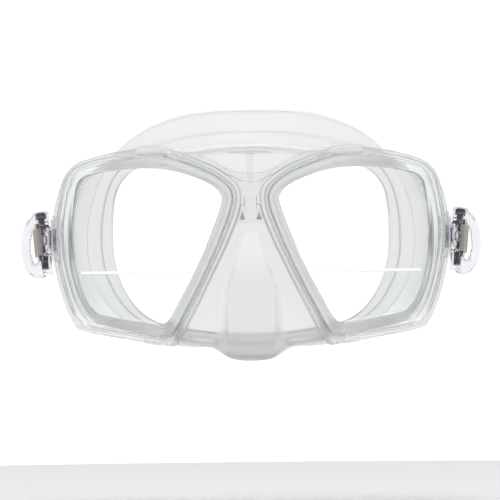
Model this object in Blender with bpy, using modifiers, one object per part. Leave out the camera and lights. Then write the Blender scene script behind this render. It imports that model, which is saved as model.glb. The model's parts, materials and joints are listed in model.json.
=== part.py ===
"""A twin-lens diving mask with reading segments and folding, swivelling strap buckles.

X runs across the face, -Y is the way the mask looks and +Z is up. The origin is on the
mid-plane, at eye height, in the rearmost plane of the face seal. The named sizes are in
millimetres and MM turns them into metres.
"""

import math

import bmesh
import bpy
import numpy as np
from mathutils import Matrix
from mathutils.geometry import delaunay_2d_cdt

MM = 0.001
OBJECT_NAME = "diving_mask"

# The lens plane: the rear face of the frame, turned back towards each temple.
PLANE_Y = -49.5
WRAP = math.radians(4.0)

# Matching points (x, z) on the rim's outside and on the opening of its bezel, from the
# nose bridge over the brow to the temple, and back along the cheek and the nose.
RIM_OUTSIDE = [
    (4.2, 17.5), (11.9, 24.0), (20.9, 28.3), (30.5, 31.8), (39.5, 33.0), (54.1, 31.0),
    (65.6, 27.9), (70.5, 25.0), (73.8, 20.0), (77.4, 7.5), (78.0, -3.5), (76.9, -15.0),
    (73.5, -28.1), (69.8, -36.5), (66.0, -39.4), (50.0, -42.4), (34.0, -45.2),
    (29.8, -45.3), (27.4, -41.9), (22.9, -33.6), (18.2, -24.4), (13.2, -14.2),
    (8.0, -3.2), (3.6, 9.0),
]  # fmt: skip
RIM_OPENING = [
    (11.0, 13.8), (14.8, 18.0), (23.5, 21.8), (32.5, 24.1), (41.5, 24.7), (53.5, 24.3),
    (63.0, 22.5), (66.8, 20.6), (68.7, 16.8), (69.8, 5.5), (69.9, -4.0), (68.9, -15.0),
    (65.8, -25.5), (61.5, -31.4), (57.5, -33.3), (46.5, -35.6), (37.0, -37.1),
    (33.2, -36.1), (30.4, -32.6), (27.2, -26.6), (23.2, -19.2), (18.9, -10.4),
    (14.6, 0.2), (11.3, 9.4),
]  # fmt: skip
RIM_STEPS = 2
RIM_DENSITY = 64

# Depths in front of the lens plane (-Y), and places across the rim: 0 outside, 1 inside.
SHELF_DEPTH = 3.5
WALL_DEPTH = 9.1
WALL_INSIDE = 0.25
SHELF_INSIDE = 0.76
WALL_ROUNDING = 0.5
WALL_CORNER = (0.06, 0.05)
FLANGE_DEPTH = 2.2
FLANGE_STEP = 0.4
FLANGE_REACH = 0.26
FLANGE_X = (5.0, 31.0)
FLANGE_ABOVE = 15.0
LENS_THICKNESS = 3.5
LENS_EDGE = 0.52
LENS_BACK = 3.8
LENS_ROUNDING = 0.25
BEZEL_BACK = 4.0
BEZEL_OUTSIDE = 0.30
BEZEL_LEG = 0.47
BEZEL_UNDERSIDE = 7.6
BEZEL_FRONT = 10.9
BEZEL_LIP_UNDERSIDE = 7.2
BEZEL_SIDE = 9.4
BEZEL_LAND = (0.45, 0.70)
BEZEL_CORNER = (0.07, 10.2)
BEZEL_SLOPE = ((0.93, 9.6), (1.0, 8.5))
TAB_PROUD = -0.045
TAB_UNDERSIDE = 7.5
NOTCH_DEPTH = 7.1
TAB_CLEARANCE = 0.45
TAB_END = 0.12
TABS = [(30.5, 43.8, 1), (35.3, 42.3, -1)]
READER_THICKNESS = 1.5
READER_BACK = 2.0
READER_EDGE = 1.10
READER_TOP = -16.8
READER_ROUNDING = 0.2
READER_CORNER = 0.5

# Bridge between the rims: outlines (x, z) of its upper web, of the thin plate where the two
# brow flanges meet, of the floor over the nose and of the nub in the middle, each with its
# thickness and the depth of its middle.
BRIDGE_WEB = [(-2, 19.0), (3, 19.4), (8, 21.9), (8.2, 20.6), (5.2, 17), (4.9, 9.6), (-2, 11)]
BRIDGE_PLATE = [(-2.6, 22.7), (5.2, 22.7), (11, 25.2), (12, 23.5), (8, 19.5), (-2.6, 18)]
BRIDGE_FLOOR = [(-2, 13), (5, 13), (9.5, 1.5), (5, 2.6), (-2, 3.2)]
BRIDGE_NUB = [(-2, 13), (2, 13), (1.6, 5), (0.6, 3.4), (-2, 3.5)]
BRIDGE_PARTS = {
    "web": (BRIDGE_WEB, 6.6, 4.9),
    "plate": (BRIDGE_PLATE, 2.0, 1.15),
    "floor": (BRIDGE_FLOOR, 2.6, 1.4),
    "nub": (BRIDGE_NUB, 8.4, 5.3),
}

# Skirt: half loops of points (x, z), from the mid-plane over the brow to the mid-plane
# under the nose. The web behind the frame ends at the first, the wall folds over at the
# second and the sealing lip ends at the third.
WEB_LOOP = [
    (0.0, 31.5), (14.0, 30.8), (26.0, 29.2), (41.0, 30.0), (56.0, 27.6), (66.5, 22.0),
    (71.5, 12.0), (73.2, -4.0), (71.6, -18.0), (67.0, -30.5), (60.0, -36.6),
    (45.0, -40.2), (31.5, -43.2), (22.0, -45.2), (15.0, -46.1), (10.6, -49.2),
    (6.6, -50.9), (0.0, -51.4),
]  # fmt: skip
FOLD_LOOP = [
    (0.0, -22.0, 48.3), (15.0, -21.4, 47.9), (29.0, -19.2, 45.9), (42.5, -15.0, 40.6),
    (53.0, -10.0, 32.6), (60.5, -5.5, 22.4), (65.5, -2.0, 9.0), (67.0, -1.0, -5.0),
    (65.0, -1.0, -18.0), (59.5, -3.0, -28.5), (52.0, -6.0, -36.0), (41.0, -11.0, -42.0),
    (30.5, -16.0, -45.6), (22.5, -20.5, -46.4), (15.6, -24.0, -46.6), (11.0, -27.5, -49.2),
    (6.8, -29.5, -50.9), (0.0, -30.5, -51.4),
]  # fmt: skip
LIP_LOOP = [
    (0.0, -27.5, 33.2), (13.0, -27.0, 32.6), (25.0, -25.0, 31.0), (37.0, -20.5, 28.2),
    (47.0, -15.0, 24.0), (53.0, -10.5, 17.0), (55.0, -7.0, 6.5), (55.2, -5.5, -5.5),
    (54.0, -5.5, -14.5), (50.8, -7.5, -23.2), (45.4, -11.0, -31.0), (38.8, -15.0, -35.8),
    (31.5, -19.5, -38.0), (24.5, -24.0, -39.2), (18.5, -27.5, -40.0), (12.8, -31.0, -40.6),
    (6.6, -33.0, -41.0), (0.0, -33.8, -41.2),
]  # fmt: skip
SKIRT_WALL = 1.7
SKIRT_STEPS = 2
SHOULDER = (0.10, 3.0)
WAIST = (0.22, 0.55)
TURN_IN = (0.30, 1.0)
WEB_DEPTH = -0.35
COLLAR_EDGE = 0.80
COLLAR_DEPTH = 3.2
COLLAR_STEPS = 2
POCKET_TOP = 0.0
POCKET_TIP = -38.0
POCKET_BOTTOM = -51.4
POCKET_REACH = 21.0
POCKET_BOTTOM_REACH = 14.0
POCKET_HALF_WIDTH = 14.2
POCKET_TOP_HALF_WIDTH = 3.6
POCKET_WIDENING = 0.45
POCKET_SHOULDER = 0.64
WEB_GRID = 4.4
WEB_GRID_ACROSS = 3.1
WEB_GRID_WIDTH = 34.0
WEB_GRID_FOOT = 2.2

# Buckle: the fold hinge stands behind the temple edge of the frame.
HINGE = (77.0, -39.5, -3.2)
FOLD_REST = math.radians(65.0)
SWIVEL_REST = math.radians(12.0)
KNUCKLE_RADIUS = 2.4
KNUCKLE_INNER = 4.9
KNUCKLE_OUTER = 8.2
KNUCKLE_ROOT_X = (-2.25, 1.5)
KNUCKLE_ROOT_Y = (-7.6, -0.1)
KNUCKLE_INSET = 0.08
ARM_BARREL_RADIUS = 2.2
ARM_BARREL_HALF = 4.6
PIN_RADIUS = 0.9
PIN_BORE = 1.2
PIN_HEAD = (1.7, 8.5, 9.5)
PIN_BOTTOM = -8.7
PIN_ROUNDING = 0.25
STUD_AT = 7.2
STUD_RADIUS = 1.4
STUD_BORE = 1.7
STUD_HEAD_RADIUS = 2.3
STUD_HEAD = 1.0
STUD_FOOT = 0.6
STUD_FOOT_RADIUS = 1.8
STUD_HEAD_ROUNDING = 0.4
ARM_ROOM_RADIUS = 5.4
ARM_ROOM_Y = (-0.1, 4.0)
ARM_DISC_RADIUS = 4.8
ARM_DISC_Y = (0.2, 1.9)
ARM_NECK_HALF = 3.9
RUNNING_GAP = 0.3
BUCKLE_THICKNESS = 3.4
BUCKLE_ROUNDING = 0.6
BUCKLE_OUTLINE = [
    (-4.4, 0.0), (-3.1, 3.1), (0.0, 4.5), (2.6, 7.6), (5.2, 11.6), (10.0, 12.7),
    (17.0, 11.9), (22.6, 8.6), (25.5, 3.6), (25.9, -1.2), (23.6, -6.4), (18.6, -10.8),
    (12.0, -12.9), (6.4, -12.0), (3.0, -8.0), (0.0, -4.5), (-3.1, -3.1),
]  # fmt: skip
BUCKLE_SLOT = [
    (5.0, 7.9), (10.0, 8.6), (16.4, 8.2), (20.6, 5.4), (22.4, 1.6), (22.0, -2.0),
    (19.4, -5.0), (14.6, -6.9), (10.4, -6.2), (5.0, -4.6), (4.8, 1.6),
]  # fmt: skip
AXLE_AT = (7.7, 0.6)
AXLE_RADIUS = 1.2
AXLE_BORE = 1.5
AXLE_BOTTOM = -10.0
AXLE_HEAD_RADIUS = 2.0
AXLE_HEAD = (10.0, 12.6)
AXLE_ROUNDING = 0.3
TOP_BOSS = (3.2, 8.6, 12.7)
BOTTOM_BOSS = (2.6, -12.2, -5.4)
ROLLER_SPAN = (-3.6, 7.2)
ROLLER_RADIUS = 2.2
ROLLER_ROOT = 1.9
ROLLER_ROOM = 0.6
ROLLER_TEETH = 12
TOOTH_SHAPE = ((ROLLER_RADIUS, 0.0), (ROLLER_RADIUS, 0.25), (ROLLER_ROOT, 0.55), (ROLLER_ROOT, 0.8))
PAWL_AT = (3.5, -3.1)
PAWL_PIN_RADIUS = 0.5
PAWL_BORE = 0.8
PAWL_BARREL = 1.2
PAWL_SPAN = (-5.6, 5.4)
PAWL_NOSE = ((0.2, -1.0), (3.0, 0.1))
PAWL_TAB = ((-0.8, -1.5), (0.4, 0.3))
PAWL_TAB_INSET = 0.6
PAWL_TAB_LEAN = math.radians(20.0)
EAR_RADIUS = 1.2
EAR_THICKNESS = 1.5
EAR_GAP = 0.35
EAR_ROOT = ((-1.15, 0.1), (1.1, 2.1))

# Helpers reach this far, so that a cut always goes right through.
CUT = 14.0
OVERLAP = 0.01
ROUND = 20
SMALL_ROUND = 16
BORE_ROUND = 14


def clear_scene():
    for obj in list(bpy.data.objects):
        bpy.data.objects.remove(obj, do_unlink=True)


def new_collection(name):
    made = bpy.data.collections.new(name)
    bpy.context.scene.collection.children.link(made)
    return made


def material(name, color, roughness, metallic=0.0, transmission=0.0, ior=1.5):
    made = bpy.data.materials.new(name)
    made.use_nodes = True
    shader = made.node_tree.nodes["Principled BSDF"]
    shader.inputs["Base Color"].default_value = (*color, 1.0)
    shader.inputs["Roughness"].default_value = roughness
    shader.inputs["Metallic"].default_value = metallic
    shader.inputs["Transmission Weight"].default_value = transmission
    shader.inputs["IOR"].default_value = ior
    return made


def smooth_path(points, steps, closed):
    """A Catmull-Rom curve through the points, with this many steps to each of them."""
    points = np.asarray(points, float)
    if closed:
        padded = np.concatenate([points[-1:], points, points[:2]])
    else:
        first = 2 * points[0] - points[1]
        last = 2 * points[-1] - points[-2]
        padded = np.concatenate([[first], points, [last]])
    found = []
    for a, b, c, d in zip(padded, padded[1:], padded[2:], padded[3:]):
        for t in np.arange(steps) / steps:
            found.append(
                0.5 * (2 * b + (c - a) * t + (2 * a - 5 * b + 4 * c - d) * t**2
                       + (3 * b - a - 3 * c + d) * t**3)
            )  # fmt: skip
    if not closed:
        found.append(points[-1])
    return np.array(found)


def mirrored_loop(points, steps):
    """Half a loop from mid-plane to mid-plane, smooth where its mirror image joins it."""
    points = np.asarray(points, float)
    flip = np.array([-1.0] + [1.0] * (points.shape[1] - 1))
    whole = smooth_path(np.concatenate([points, points[-2:0:-1] * flip]), steps, True)
    half = whole[: (len(points) - 1) * steps + 1].copy()
    half[[0, -1], 0] = 0.0
    return half


def place(obj, collection, parent=None, look=None):
    collection.objects.link(obj)
    if parent:
        obj.parent = parent
    if look:
        obj.data.materials.append(look)
    return obj


def mesh_object(name, bm):
    bmesh.ops.recalc_face_normals(bm, faces=bm.faces)
    mesh = bpy.data.meshes.new(name)
    bm.to_mesh(mesh)
    bm.free()
    mesh.shade_smooth()
    mesh.set_sharp_from_angle(angle=math.radians(35))
    return bpy.data.objects.new(name, mesh)


def add_loft(bm, rings, wrap_rings=False, wrap_points=True):
    """Quads between rings of equally many points (mm); both ways may close on themselves."""
    rows = [[bm.verts.new(np.asarray(point) * MM) for point in ring] for ring in rings]
    pairs = list(zip(rows, rows[1:]))
    if wrap_rings:
        pairs.append((rows[-1], rows[0]))
    for one, two in pairs:
        last = len(one) if wrap_points else len(one) - 1
        for i in range(last):
            j = (i + 1) % len(one)
            bm.faces.new((one[i], one[j], two[j], two[i]))


def empty(name, collection, parent=None, at=(0, 0, 0), turn=(0, 0, 0)):
    made = bpy.data.objects.new(name, None)
    made.empty_display_size = 0.01
    made.location = np.asarray(at, float) * MM
    made.rotation_euler = turn
    return place(made, collection, parent)


def extruded(name, loops, thickness, rounding=0.0, segments=1):
    """The mesh of flat loops (x, z) with even thickness along Y, centred on Y = 0."""
    curve = bpy.data.curves.new(name, "CURVE")
    curve.dimensions = "2D"
    curve.fill_mode = "BOTH"
    curve.extrude = (thickness / 2 - rounding) * MM
    curve.bevel_depth = rounding * MM
    curve.bevel_resolution = segments - 1
    curve.offset = -rounding * MM
    for loop in loops:
        spline = curve.splines.new("POLY")
        spline.points.add(len(loop) - 1)
        spline.use_cyclic_u = True
        for point, (x, z) in zip(spline.points, loop):
            point.co = (x * MM, z * MM, 0, 1)
    drawn = bpy.data.objects.new(name + "_outline", curve)
    bpy.context.scene.collection.objects.link(drawn)
    bpy.context.view_layer.update()
    graph = bpy.context.evaluated_depsgraph_get()
    mesh = bpy.data.meshes.new_from_object(drawn.evaluated_get(graph))
    bpy.data.objects.remove(drawn, do_unlink=True)
    bm = bmesh.new()
    bm.from_mesh(mesh)
    bpy.data.meshes.remove(mesh)
    bmesh.ops.remove_doubles(bm, verts=bm.verts, dist=1e-6)
    # The curve's own plane is turned so that its thickness runs along Y.
    bmesh.ops.rotate(bm, verts=bm.verts, matrix=Matrix.Rotation(math.pi / 2, 3, "X"))
    return mesh_object(name, bm)


def block(name, low, high):
    bm = bmesh.new()
    low, high = np.asarray(low, float), np.asarray(high, float)
    size = Matrix.Diagonal((*((high - low) * MM), 1))
    bmesh.ops.create_cube(bm, size=1, matrix=Matrix.Translation((low + high) / 2 * MM) @ size)
    return mesh_object(name, bm)


def cylinder(name, radius, span, at=(0, 0), axis="Z", sides=ROUND):
    """A cylinder over span along the axis Z or Y, with its middle at the other two places."""
    bm = bmesh.new()
    turn = Matrix.Rotation(math.pi / 2, 4, "X") if axis == "Y" else Matrix.Identity(4)
    middle = sum(span) / 2
    where = (at[0], middle, at[1]) if axis == "Y" else (at[0], at[1], middle)
    bmesh.ops.create_cone(
        bm,
        cap_ends=True,
        segments=sides,
        radius1=radius * MM,
        radius2=radius * MM,
        depth=(span[1] - span[0]) * MM,
        matrix=Matrix.Translation(np.array(where) * MM) @ turn,
    )
    return mesh_object(name, bm)


def turned(name, profile, sides=ROUND):
    """A solid of revolution about Z from (radius, z) points that run from top to bottom."""
    bm = bmesh.new()
    verts = [bm.verts.new((radius * MM, 0, z * MM)) for radius, z in profile]
    for one, two in zip(verts, verts[1:]):
        bm.edges.new((one, two))
    mesh = bpy.data.meshes.new(name)
    bm.to_mesh(mesh)
    bm.free()
    made = bpy.data.objects.new(name, mesh)
    screw = made.modifiers.new("turn", "SCREW")
    screw.steps = screw.render_steps = sides
    screw.use_merge_vertices = True
    screw.merge_threshold = 1e-5
    screw.use_smooth_shade = False
    return made


def combine(target, helpers, operation):
    """Joins helpers to the target or cuts them from it; the helpers are left out."""
    for helper in helpers:
        helpers_collection.objects.link(helper)
        helper.parent = target.parent
        helper.hide_render = True
        helper.display_type = "WIRE"
        step = target.modifiers.new(helper.name, "BOOLEAN")
        step.operation = operation
        step.object = helper
        step.solver = "EXACT"


# Rims, lenses and reading segments


def rim_places():
    """Places round the rim as fractions of its control points, closer at the tabs' ends."""
    count = len(RIM_OUTSIDE)
    places = list(np.arange(count * RIM_STEPS) / RIM_STEPS)
    dense = smooth_path(RIM_OUTSIDE, RIM_DENSITY, True)
    for start, end, side in TABS:
        for edge, outward in ((start, -1), (end, 1)):
            for start_of_end in (0.0, TAB_CLEARANCE):
                for shift in (start_of_end - TAB_END, start_of_end + TAB_END):
                    far = np.abs(dense[:, 0] - edge - outward * shift)
                    far[dense[:, 1] * side < 0] = np.inf
                    places.append(np.argmin(far) / RIM_DENSITY)
    return np.unique(places)


def on_path(points, places):
    dense = smooth_path(points, RIM_DENSITY, True)
    return dense[(np.round(places * RIM_DENSITY).astype(int)) % len(dense)]


def in_tab(point, margin):
    return any(
        start - margin < point[0] < end + margin and point[1] * side > 0
        for start, end, side in TABS
    )


def rim_loop(across):
    """The loop (x, z) at this place across the rim, from 0 outside to 1 at the opening."""
    places = rim_places()
    outside = on_path(RIM_OUTSIDE, places)
    return outside + across * (on_path(RIM_OPENING, places) - outside)


def rim_loft(name, section):
    """A closed rim whose section (across, depth) is drawn at each place round the rim."""
    outside, opening = rim_loop(0), rim_loop(1)
    rings = []
    for outer, inner in zip(outside, opening):
        ring = []
        for across, depth in section(outer):
            x, z = outer + across * (inner - outer)
            ring.append((x, -depth, z))
        rings.append(ring)
    bm = bmesh.new()
    add_loft(bm, rings, wrap_rings=True)
    return mesh_object(name, bm)


def frame_section(outer):
    start, end = FLANGE_X
    along = (outer[0] - start) / (end - start)
    brow = outer[1] > FLANGE_ABOVE and 0 < along < 1
    reach = -FLANGE_REACH * math.sin(math.pi * along) ** 0.5 if brow else 0.0
    top = NOTCH_DEPTH if in_tab(outer, TAB_CLEARANCE) else WALL_DEPTH
    return [
        (reach, 0.0),
        (reach, FLANGE_DEPTH),
        (0.0, FLANGE_DEPTH + FLANGE_STEP),
        (0.0, top - WALL_ROUNDING),
        (WALL_CORNER[0], top),
        (WALL_INSIDE - WALL_CORNER[1], top),
        (WALL_INSIDE, top - WALL_ROUNDING),
        (WALL_INSIDE, SHELF_DEPTH),
        (SHELF_INSIDE, SHELF_DEPTH),
        (SHELF_INSIDE, 0.0),
    ]


def bezel_section(outer):
    edge = TAB_PROUD if in_tab(outer, 0) else BEZEL_OUTSIDE
    return [
        (BEZEL_OUTSIDE, BEZEL_BACK),
        (BEZEL_OUTSIDE, BEZEL_LIP_UNDERSIDE),
        (edge, TAB_UNDERSIDE),
        (edge, BEZEL_SIDE),
        (edge + BEZEL_CORNER[0], BEZEL_CORNER[1]),
        (BEZEL_LAND[0], BEZEL_FRONT),
        (BEZEL_LAND[1], BEZEL_FRONT),
        *BEZEL_SLOPE,
        (1.0, BEZEL_UNDERSIDE),
        (BEZEL_LEG, BEZEL_UNDERSIDE),
        (BEZEL_LEG, BEZEL_BACK),
    ]


def lens(name):
    made = extruded(name, [rim_loop(LENS_EDGE)], LENS_THICKNESS, LENS_ROUNDING)
    made.location.y = -(LENS_BACK + LENS_THICKNESS / 2) * MM
    return made


def reader(name):
    """The reading segment: the lower part of the lens, with a straight top edge."""
    loop = rim_loop(READER_EDGE)
    loop = np.roll(loop, -np.argmax(loop[:, 1]), axis=0)
    below = loop[loop[:, 1] < READER_TOP - READER_CORNER]
    ends = [np.interp(-READER_TOP, -side[:, 1], side[:, 0])
            for side in (loop[: len(loop) // 2], loop[: len(loop) // 2 : -1])]  # fmt: skip
    outline = np.concatenate([[(ends[0], READER_TOP)], below, [(ends[1], READER_TOP)]])
    made = extruded(name, [outline], READER_THICKNESS, READER_ROUNDING)
    made.location.y = -(READER_BACK + READER_THICKNESS / 2) * MM
    return made


def bridge_parts():
    """The bridge between the rims, its brow plate, its floor over the nose and its nub."""
    made = []
    for word, (outline, thickness, depth) in BRIDGE_PARTS.items():
        part = extruded(f"bridge_{word}", [outline], thickness)
        part.location.y = -depth * MM
        made.append(part)
    return made


def main_frame():
    """One half with its bridge and hinge knuckles, turned to the wrap and mirrored."""
    frame = rim_loft("main_frame", frame_section)
    turn = Matrix.Translation((0, PLANE_Y * MM, 0)) @ Matrix.Rotation(WRAP, 4, "Z")
    frame.data.transform(turn)
    added = bridge_parts()
    for part in added:
        part.matrix_basis = turn @ part.matrix_basis
    x, y, z = HINGE
    for name, sign in (("upper", 1), ("lower", -1)):
        span = sorted((z + sign * KNUCKLE_INNER, z + sign * KNUCKLE_OUTER))
        added.append(cylinder(f"{name}_knuckle", KNUCKLE_RADIUS, span, (x, y)))
        low = (x + KNUCKLE_ROOT_X[0], y + KNUCKLE_ROOT_Y[0], span[0] + KNUCKLE_INSET)
        high = (x + KNUCKLE_ROOT_X[1], y + KNUCKLE_ROOT_Y[1], span[1] - KNUCKLE_INSET)
        added.append(block(f"{name}_knuckle_root", low, high))
    combine(frame, added, "UNION")
    bore = cylinder("hinge_bore", PIN_BORE, (z - CUT, z + CUT), (x, y), sides=BORE_ROUND)
    combine(frame, [bore], "DIFFERENCE")
    mirror = frame.modifiers.new("both_sides", "MIRROR")
    mirror.use_bisect_axis[0] = True
    mirror.use_clip = True
    mirror.merge_threshold = 1e-5
    return frame


# Skirt


def smoothstep(low, high, value):
    t = np.clip((value - low) / (high - low), 0, 1)
    return t * t * (3 - 2 * t)


def pocket_reach(z):
    """How far the nose pocket stands forward of the web on the mid-plane, at height z."""
    rise = np.clip((POCKET_TOP - z) / (POCKET_TOP - POCKET_TIP), 0, 1) ** 0.9
    fall = np.clip((POCKET_TIP - z) / (POCKET_TIP - POCKET_BOTTOM), 0, 1)
    drop = (POCKET_REACH - POCKET_BOTTOM_REACH) * (1 - np.sqrt(1 - fall**2))
    return POCKET_REACH * rise - drop


def web_y(x, z):
    """The front of the skirt: the web behind the frame, with the nose pocket on it."""
    width = POCKET_TOP_HALF_WIDTH + (POCKET_TOP - z) * POCKET_WIDENING
    width = np.clip(np.minimum(width, POCKET_HALF_WIDTH), 1, None)
    pocket = pocket_reach(z) * (1 - smoothstep(POCKET_SHOULDER, 1, np.abs(x) / width))
    return PLANE_Y - WEB_DEPTH + np.abs(x) * math.tan(WRAP) - pocket


def to_world(x, depth, z):
    """A point of the right lens plane, given its depth in front of the plane."""
    return np.array([
        x * math.cos(WRAP) + depth * math.sin(WRAP),
        PLANE_Y + x * math.sin(WRAP) - depth * math.cos(WRAP),
        z,
    ])  # fmt: skip


def inside(loop, point):
    """Whether the point is inside the polygon."""
    x, z = point
    ends = np.roll(loop, -1, axis=0)
    crosses = (loop[:, 1] > z) != (ends[:, 1] > z)
    with np.errstate(divide="ignore", invalid="ignore"):
        at = loop[:, 0] + (z - loop[:, 1]) * (ends[:, 0] - loop[:, 0]) / (ends[:, 1] - loop[:, 1])
    return bool((crosses & (x < at)).sum() % 2)


def add_web(bm, outline, eye):
    """Triangles over the right half of the web, between its outline and the eye opening."""
    straight = np.arange(outline[0, 1] - WEB_GRID, outline[-1, 1] + 1, -WEB_GRID)
    edge = np.concatenate([outline, [(0.0, z) for z in straight[::-1]]])
    grid = [
        (x, z)
        for x in np.arange(WEB_GRID_ACROSS, WEB_GRID_WIDTH, WEB_GRID_ACROSS)
        for z in np.arange(outline[-1, 1] + WEB_GRID_FOOT, outline[0, 1], WEB_GRID)
    ]
    kept = []
    for point in grid:
        near = min(np.hypot(*(edge - point).T).min(), np.hypot(*(eye - point).T).min())
        if near > WEB_GRID * 0.5 and inside(edge, point) and not inside(eye, point):
            kept.append(point)
    points = np.concatenate([edge, eye, kept])
    rims = [(i, (i + 1) % len(edge)) for i in range(len(edge))]
    rims += [(len(edge) + i, len(edge) + (i + 1) % len(eye)) for i in range(len(eye))]
    found = delaunay_2d_cdt([tuple(point) for point in points], rims, [], 0, 1e-4)
    verts = [bm.verts.new((x * MM, web_y(x, z) * MM, z * MM)) for x, z in found[0]]
    for corners in found[2]:
        middle = np.mean([found[0][i] for i in corners], axis=0)
        if inside(edge, middle) and not inside(eye, middle):
            bm.faces.new([verts[i] for i in corners])


def skirt():
    """Half of the outer surface, mirrored and given its thickness towards the face."""
    web = mirrored_loop(WEB_LOOP, SKIRT_STEPS)
    fold = mirrored_loop(FOLD_LOOP, SKIRT_STEPS)
    lip = mirrored_loop(LIP_LOOP, SKIRT_STEPS)
    front = np.column_stack([web[:, 0], web_y(web[:, 0], web[:, 1]), web[:, 1]])
    spread = fold - front
    shoulder = front + spread * (SHOULDER[0], 0, SHOULDER[0]) + (0, SHOULDER[1], 0)
    waist = front + spread * (WAIST[0], WAIST[1], WAIST[0])
    turn_in = fold + (lip - fold) * (TURN_IN[0], 0, TURN_IN[0]) + (0, TURN_IN[1], 0)
    rings = smooth_path([front, shoulder, waist, fold, turn_in, lip], 1, False)
    eye = rim_loop(COLLAR_EDGE)[::2]
    eye_web = np.array([to_world(x, WEB_DEPTH, z) for x, z in eye])
    bm = bmesh.new()
    add_web(bm, web, eye_web[:, [0, 2]])
    add_loft(bm, rings, wrap_points=False)
    depths = np.linspace(WEB_DEPTH, COLLAR_DEPTH, COLLAR_STEPS + 1)
    collar = [[to_world(x, depth, z) for x, z in eye] for depth in depths]
    collar[0] = [(x, web_y(x, z), z) for x, z in eye_web[:, [0, 2]]]
    add_loft(bm, collar)
    bmesh.ops.remove_doubles(bm, verts=bm.verts, dist=2e-5)
    made = mesh_object("skirt", bm)
    mirror = made.modifiers.new("both_sides", "MIRROR")
    mirror.use_clip = True
    mirror.merge_threshold = 1e-5
    wall = made.modifiers.new("wall", "SOLIDIFY")
    wall.thickness = SKIRT_WALL * MM
    wall.offset = -1
    return made


# Buckles


def buckle_arm(name):
    """The folding arm: a barrel round the hinge pin and the disc that the buckle turns on."""
    barrel = cylinder(name, ARM_BARREL_RADIUS, (-ARM_BARREL_HALF, ARM_BARREL_HALF))
    disc = cylinder(name + "_disc", ARM_DISC_RADIUS, ARM_DISC_Y, (STUD_AT, 0), axis="Y")
    back, front = ARM_DISC_Y
    neck = block(name + "_neck", (0.5, back, -ARM_NECK_HALF), (STUD_AT, front, ARM_NECK_HALF))
    combine(barrel, [disc, neck], "UNION")
    pin_bore = cylinder(name + "_pin_bore", PIN_BORE, (-CUT, CUT), sides=BORE_ROUND)
    stud_bore = cylinder(name + "_stud_bore", STUD_BORE, (-CUT, CUT), (STUD_AT, 0), axis="Y")
    combine(barrel, [pin_bore, stud_bore], "DIFFERENCE")
    return barrel


def hinge_pin(name):
    head_radius, head, top = PIN_HEAD
    profile = [
        (0.0, top), (head_radius - PIN_ROUNDING, top), (head_radius, top - PIN_ROUNDING),
        (head_radius, head), (PIN_RADIUS, head), (PIN_RADIUS, PIN_BOTTOM + PIN_ROUNDING),
        (PIN_RADIUS - PIN_ROUNDING, PIN_BOTTOM), (0.0, PIN_BOTTOM),
    ]  # fmt: skip
    return turned(name, profile, BORE_ROUND)


def swivel_stud(name):
    """The stud that the buckle turns on, with its head on the outer side of the hub."""
    outer = BUCKLE_THICKNESS / 2 + RUNNING_GAP
    back = -ARM_DISC_Y[1] - RUNNING_GAP
    top = outer + STUD_HEAD
    profile = [
        (0.0, top), (STUD_HEAD_RADIUS - STUD_HEAD_ROUNDING, top),
        (STUD_HEAD_RADIUS, top - STUD_HEAD_ROUNDING), (STUD_HEAD_RADIUS, outer),
        (STUD_RADIUS, outer), (STUD_RADIUS, back), (STUD_FOOT_RADIUS, back),
        (STUD_FOOT_RADIUS, back - STUD_FOOT), (0.0, back - STUD_FOOT),
    ]  # fmt: skip
    stud = turned(name, profile)
    stud.rotation_euler = (math.pi / 2, 0, 0)
    return stud


def buckle_body(name):
    """The loop that the strap runs through, with a hub, axle bosses and ears for the pawl."""
    outline = smooth_path(BUCKLE_OUTLINE, 2, True)
    slot = smooth_path(BUCKLE_SLOT, 2, True)
    body = extruded(name, [outline, slot], BUCKLE_THICKNESS, BUCKLE_ROUNDING)
    top_boss = cylinder(name + "_top_boss", TOP_BOSS[0], TOP_BOSS[1:], AXLE_AT)
    bottom_boss = cylinder(name + "_bottom_boss", BOTTOM_BOSS[0], BOTTOM_BOSS[1:], AXLE_AT)
    ears = []
    x, y = PAWL_AT
    (low_x, low_y), (high_x, high_y) = EAR_ROOT
    lowest = PAWL_SPAN[0] - EAR_GAP - EAR_THICKNESS
    for word, z in (("lower", lowest), ("upper", PAWL_SPAN[1] + EAR_GAP)):
        top = z + EAR_THICKNESS
        ears.append(cylinder(f"{name}_{word}_ear", EAR_RADIUS, (z, top), PAWL_AT, "Z", SMALL_ROUND))
        low, high = (x + low_x, y + low_y, z + OVERLAP), (x + high_x, y + high_y, top - OVERLAP)
        ears.append(block(f"{name}_{word}_ear_root", low, high))
    combine(body, [top_boss, bottom_boss, *ears], "UNION")
    head_room = AXLE_HEAD_RADIUS + RUNNING_GAP
    roller_room = (ROLLER_SPAN[0] - 2 * RUNNING_GAP, ROLLER_SPAN[1] + 2 * RUNNING_GAP)
    cutters = [
        cylinder(name + "_arm_room", ARM_ROOM_RADIUS, ARM_ROOM_Y, axis="Y"),
        cylinder(name + "_stud_bore", STUD_BORE, (-CUT, CUT), axis="Y"),
        cylinder(name + "_axle_bore", AXLE_BORE, (AXLE_BOTTOM - RUNNING_GAP, CUT), AXLE_AT,
                 sides=SMALL_ROUND),
        cylinder(name + "_head_room", head_room, (AXLE_HEAD[0] - RUNNING_GAP, CUT), AXLE_AT),
        cylinder(name + "_pawl_bore", PAWL_BORE, (-CUT, CUT), PAWL_AT, sides=BORE_ROUND),
        cylinder(name + "_roller_room", ROLLER_RADIUS + ROLLER_ROOM, roller_room, AXLE_AT),
    ]  # fmt: skip
    combine(body, cutters, "DIFFERENCE")
    return body


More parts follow.
